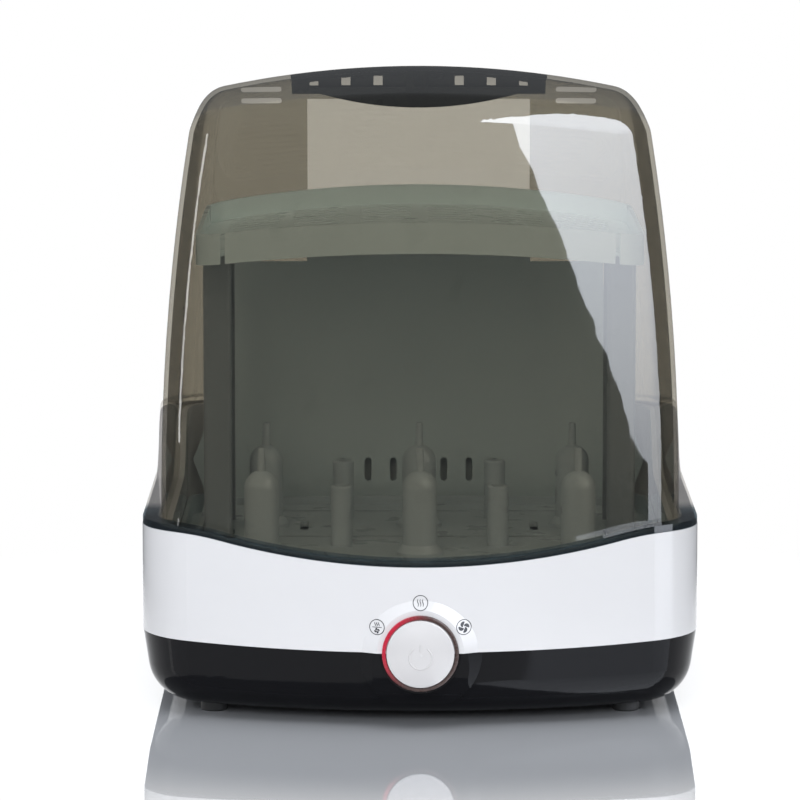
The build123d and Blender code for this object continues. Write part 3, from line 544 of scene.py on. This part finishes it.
# ------------------------------------------------------------------ light, floor and camera
def studio():
    """White to the camera, dim grey in reflections, and soft light from all round otherwise."""
    world = bpy.data.worlds.new("studio")
    bpy.context.scene.world = world
    n = Nodes(world)
    path = n.add("ShaderNodeLightPath")
    place = n.add("ShaderNodeTexCoord").outputs["Generated"]
    direction = n.add("ShaderNodeSeparateXYZ", {0: place})
    behind = n.span(direction.outputs[2], -0.1, 0.9, *AMBIENT_MIRRORED, smooth=True)
    seen = path.outputs["Is Camera Ray"]
    mirrored = path.outputs["Is Glossy Ray"]
    other = n.math("SUBTRACT", 1.0, n.math("MAXIMUM", seen, mirrored))
    unseen = n.math("MULTIPLY", other, AMBIENT)
    strength = n.math("ADD", n.math("ADD", seen, n.math("MULTIPLY", mirrored, behind)), unseen)
    colour = n.mix(seen, LIGHT_TONE, (1, 1, 1, 1))
    back = n.add("ShaderNodeBackground", {"Color": colour, "Strength": strength})
    n.add("ShaderNodeOutputWorld", {"Surface": back.outputs[0]})


def aimed(azimuth, elevation, distance):
    """A point seen from the object at that azimuth (0 is the front, + is right) and elevation."""
    a, e = math.radians(azimuth), math.radians(elevation)
    flat = distance * math.cos(e)
    return (flat * math.sin(a), -flat * math.cos(a), LOOK_Z + distance * math.sin(e))


def softbox(name, directions, top, bottom, tone):
    """A lit panel with its corners in those directions; its strength runs from bottom to top."""
    corners = [aimed(azimuth, elevation, SOFTBOX_REACH) for azimuth, elevation in directions]
    mesh = bpy.data.meshes.new(name)
    mesh.from_pydata([Vector(c) for c in corners], [], [tuple(range(len(corners)))])
    panel = bpy.data.objects.new(name, mesh)
    bpy.context.scene.collection.objects.link(panel)
    mat = bpy.data.materials.new(name)
    n = Nodes(mat)
    heights = [c[2] for c in corners]
    up = n.add("ShaderNodeSeparateXYZ", {0: n.place()}).outputs[2]
    strength = n.span(up, min(heights), max(heights), bottom, top)
    glow = n.add("ShaderNodeEmission", {"Color": tone, "Strength": strength})
    n.add("ShaderNodeOutputMaterial", {"Surface": glow.outputs[0]})
    mesh.materials.append(mat)
    panel.visible_camera = panel.visible_diffuse = False


def area(name, place, size, energy):
    """A lamp that isn't mirrored, aimed at the middle of the object."""
    light = bpy.data.lights.new(name, "AREA")
    light.shape = "RECTANGLE"
    light.size, light.size_y = size
    light.energy = energy
    light.color = LIGHT_TONE[:3]
    lamp = bpy.data.objects.new(name, light)
    bpy.context.scene.collection.objects.link(lamp)
    lamp.location = place
    aim = Vector((0, 0, LOOK_Z)) - Vector(place)
    lamp.rotation_euler = aim.to_track_quat("-Z", "Y").to_euler()
    lamp.visible_glossy = False


def floor():
    """A glossy pale floor that fades out round the object."""
    mesh = bpy.data.meshes.new("floor")
    mesh.from_pydata([(-2, -2, 0), (2, -2, 0), (2, 2, 0), (-2, 2, 0)], [], [(0, 1, 2, 3)])
    plane = bpy.data.objects.new("floor", mesh)
    bpy.context.scene.collection.objects.link(plane)
    mat = bpy.data.materials.new("floor")
    n = Nodes(mat)
    tone = n.mix(n.noise(n.place(), 0.8), (0.43, 0.43, 0.44, 1), (0.45, 0.45, 0.46, 1))
    matt = n.add("ShaderNodeBsdfDiffuse", {"Color": tone})
    mirror = n.add("ShaderNodeBsdfGlossy", {"Color": (1, 1, 1, 1), "Roughness": 0.015})
    both = n.add("ShaderNodeMixShader", {0: FLOOR_SHINE, 1: matt.outputs[0], 2: mirror.outputs[0]})
    away = n.add("ShaderNodeVectorMath", {0: n.place()}, operation="LENGTH").outputs["Value"]
    fade = n.span(away, *FLOOR_FADE, 0.0, 1.0, smooth=True)
    nothing = n.add("ShaderNodeBsdfTransparent")
    faded = n.add("ShaderNodeMixShader", {0: fade, 1: both.outputs[0], 2: nothing.outputs[0]})
    n.add("ShaderNodeOutputMaterial", {"Surface": faded.outputs[0]})
    mesh.materials.append(mat)
    return plane


def surround(plane):
    """A pale wall all round, far out, that only the floor mirrors."""
    count, radius, height = 48, 3.4, 2.2
    verts = []
    for z in (0.0, height):
        for i in range(count):
            a = 2 * math.pi * i / count
            verts.append((radius * math.cos(a), radius * math.sin(a), z))
    faces = [(i, (i + 1) % count, count + (i + 1) % count, count + i) for i in range(count)]
    mesh = bpy.data.meshes.new("surround")
    mesh.from_pydata(verts, [], faces)
    wall = bpy.data.objects.new("surround", mesh)
    bpy.context.scene.collection.objects.link(wall)
    mat = bpy.data.materials.new("surround")
    n = Nodes(mat)
    glow = n.add("ShaderNodeEmission", {"Color": (1, 1, 1, 1), "Strength": SURROUND_GLOW})
    nothing = n.add("ShaderNodeBsdfTransparent")
    both = n.add("ShaderNodeAddShader", {0: glow.outputs[0], 1: nothing.outputs[0]})
    n.add("ShaderNodeOutputMaterial", {"Surface": both.outputs[0]})
    mesh.materials.append(mat)
    wall.visible_camera = wall.visible_diffuse = wall.visible_shadow = False
    only = bpy.data.collections.new("mirrors the surround")
    only.objects.link(plane)
    wall.light_linking.receiver_collection = only


def camera():
    """A long lens, a little left of the middle and looking slightly down."""
    data = bpy.data.cameras.new("camera")
    data.sensor_width = 36.0
    data.lens = CAMERA_LENS
    data.clip_end = 100.0
    cam = bpy.data.objects.new("camera", data)
    bpy.context.scene.collection.objects.link(cam)
    cam.location = CAMERA_PLACE
    cam.rotation_euler = (math.radians(90 - CAMERA_DROP), 0, 0)
    bpy.context.scene.camera = cam


studio()
surround(floor())
camera()
bpy.context.scene.view_settings.view_transform = "Standard"
area("top light", (0.1, -0.5, 1.9), (1.6, 1.2), 19.5)
area("front fill", (-0.3, -2.4, 1.0), (1.4, 1.0), 29)
# each panel's corners as azimuth and elevation, in degrees
softbox("right softbox", [(13, 28), (56, -14), (80, -14), (80, 28)], 6.4, 1.5, SOFTBOX_TONE)
softbox("right softbox top", [(13, 28), (80, 28), (80, 62), (62, 62)], 6.4, 6.4, SOFTBOX_TONE)
softbox("left strip", [(-84, 24), (-84, -5), (-79, -5), (-79, 24)], 4.0, 4.0, (1, 1, 1, 1))
